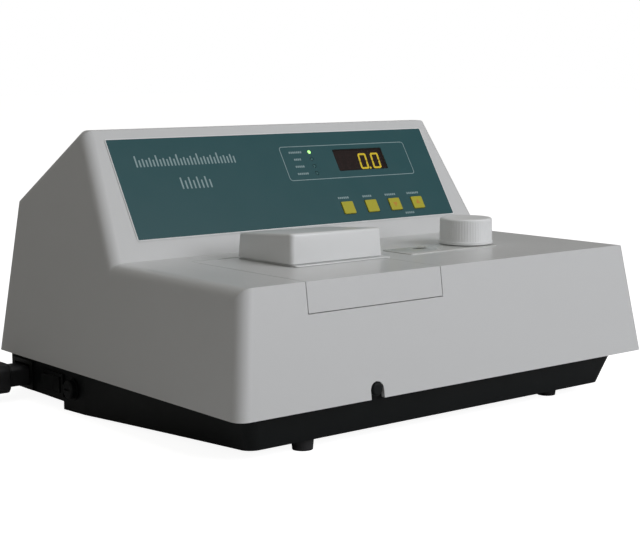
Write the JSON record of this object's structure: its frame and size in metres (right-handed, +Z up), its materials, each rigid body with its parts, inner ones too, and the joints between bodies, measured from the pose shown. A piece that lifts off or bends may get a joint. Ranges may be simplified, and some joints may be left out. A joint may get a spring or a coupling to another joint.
{
  "type": "spectrophotometer",
  "caption": "Bench spectrophotometer with a drafted white cover, black base, hinged sample lid, wavelength knob and sloping keypad panel, with its optics inside.",
  "frame": {"origin": "on the table, under the middle of the cover rim", "axes": "+X to the right seen from the front, +Y to the back, +Z up; the front faces -Y"},
  "size_m": [0.572, 0.316, 0.1977],
  "materials": {
    "cover_white": "off-white moulded ABS, fine satin gloss",
    "knob_white": "off-white moulded plastic",
    "tub_black": "black moulded plastic",
    "panel_teal": "printed dark teal polycarbonate overlay",
    "key_yellow": "olive yellow key caps",
    "window_smoke": "smoked display window",
    "display_black": "black display module",
    "led_green": "green indicator lamps",
    "board_green": "glass-fibre circuit board",
    "plate_silver": "satin anodised plate",
    "bench_alloy": "machined aluminium",
    "black_alloy": "black anodised or painted alloy",
    "steel": "bright steel",
    "brass": "turned brass",
    "gear_white": "natural acetal",
    "scale_print": "white printed ring",
    "shutter_black": "blackened steel vane",
    "clear_glass": "clear glass",
    "mirror_coat": "front-silvered glass",
    "rubber_black": "black rubber",
    "plug_black": "black moulded PVC"
  },
  "bodies": {
    "instrument": {"top_cover": "cover_white", "keypad_panel": "panel_teal", "display_window": "window_smoke", "display_module": "display_black", "indicator_leds": "led_green", "keypad_board": "board_green", "board_studs": "steel", "lid_hinge_pin": "steel", "base_tub": "tub_black", "rubber_feet": "rubber_black", "cover_screws": "steel", "optical_bench": "bench_alloy", "bench_screws": "steel", "sample_chamber": "black_alloy", "guide_rails": "bench_alloy", "detector_house": "black_alloy", "photodiode": "board_green", "monochromator_house": "black_alloy", "monochromator_cover": "black_alloy", "slit_plates": "black_alloy", "mirrors": "mirror_coat", "grating_bush": "brass", "dial_stud": "steel", "shaft_bush": "brass", "dial_plate": "plate_silver", "dial_lens": "clear_glass", "lamp_housing": "bench_alloy", "lamp_socket": "gear_white", "halogen_lamp": "clear_glass", "condenser_lens": "clear_glass", "main_board": "board_green", "power_board": "board_green", "transformer": "steel", "mains_inlet": "tub_black", "switch_body": "tub_black", "fuse_holder": "tub_black", "inlet_connector": "plug_black", "strain_relief": "rubber_black", "mains_cord": "rubber_black", "cord_coil": "rubber_black", "mains_plug": "plug_black"},
    "lid": {"lid_flap": "cover_white", "lid_block": "cover_white"},
    "shutter": {"light_shutter": "shutter_black"},
    "cell_slide": {"cell_rack": "black_alloy", "pull_rod": "steel", "rod_knob": "tub_black"},
    "knob": {"wavelength_knob": "knob_white", "knob_shaft": "brass"},
    "dial": {"dial_gear": "gear_white", "dial_scale": "scale_print"},
    "grating_arm": {"sine_arm": "steel", "grating_mount": "bench_alloy", "grating": "mirror_coat"},
    "rocker": {"power_rocker": "tub_black"},
    "fuse": {"fuse_cap": "tub_black"},
    "key_1": {"key_1": "key_yellow"},
    "key_2": {"key_2": "key_yellow"},
    "key_3": {"key_3": "key_yellow"},
    "key_4": {"key_4": "key_yellow"}
  },
  "joints": [
    {"name": "lid_hinge", "type": "hinge", "parent": "instrument", "child": "lid", "pos_m": [0, -0.0225, 0.1076], "axis": [-1, 0, 0], "range_deg": [0, 80]},
    {"name": "shutter_swing", "type": "hinge", "parent": "instrument", "child": "shutter", "pos_m": [-0.0142, -0.1, 0.072], "axis": [-1, 0, 0], "range_deg": [0, 30.01]},
    {"name": "rack_slide", "type": "slide", "parent": "instrument", "child": "cell_slide", "axis": [0, -1, 0], "range_m": [0, 0.0426]},
    {"name": "wavelength_turn", "type": "hinge", "parent": "instrument", "child": "knob", "pos_m": [0.086, -0.0692, 0.11], "axis": [0, 0, 1], "range_deg": [-1268.41, 617.21]},
    {"name": "dial_turn", "type": "hinge", "parent": "instrument", "child": "dial", "pos_m": [0.04682, -0.03632, 0.1016], "axis": [0, 0, 1], "range_deg": [-98.2, 201.8]},
    {"name": "arm_swing", "type": "hinge", "parent": "instrument", "child": "grating_arm", "pos_m": [0.01218, -0.01632, 0.086], "axis": [0, 0, 1], "range_deg": [-8.52, 17.5]},
    {"name": "rocker_tip", "type": "hinge", "parent": "instrument", "child": "rocker", "pos_m": [-0.1778, 0.0795, 0.0174], "axis": [0, 0, -1], "range_deg": [0, 20]},
    {"name": "fuse_turn", "type": "hinge", "parent": "instrument", "child": "fuse", "pos_m": [-0.1793, 0.0505, 0.0174], "axis": [1, 0, 0], "range_deg": [0, 45]},
    {"name": "key_1_press", "type": "slide", "parent": "instrument", "child": "key_1", "axis": [0, 0.8494, -0.5278], "range_m": [0, 0.0005], "stiffness_N_per_m": 300},
    {"name": "key_2_press", "type": "slide", "parent": "instrument", "child": "key_2", "axis": [0, 0.8494, -0.5278], "range_m": [0, 0.0005], "stiffness_N_per_m": 300},
    {"name": "key_3_press", "type": "slide", "parent": "instrument", "child": "key_3", "axis": [0, 0.8494, -0.5278], "range_m": [0, 0.0005], "stiffness_N_per_m": 300},
    {"name": "key_4_press", "type": "slide", "parent": "instrument", "child": "key_4", "axis": [0, 0.8494, -0.5278], "range_m": [0, 0.0005], "stiffness_N_per_m": 300}
  ],
  "couplings": [
    {"joint": "shutter_swing", "follows": "lid_hinge", "ratio": 0.375},
    {"joint": "dial_turn", "follows": "wavelength_turn", "ratio": -0.15909},
    {"joint": "arm_swing", "follows": "wavelength_turn", "ratio": -0.013788}
  ]
}
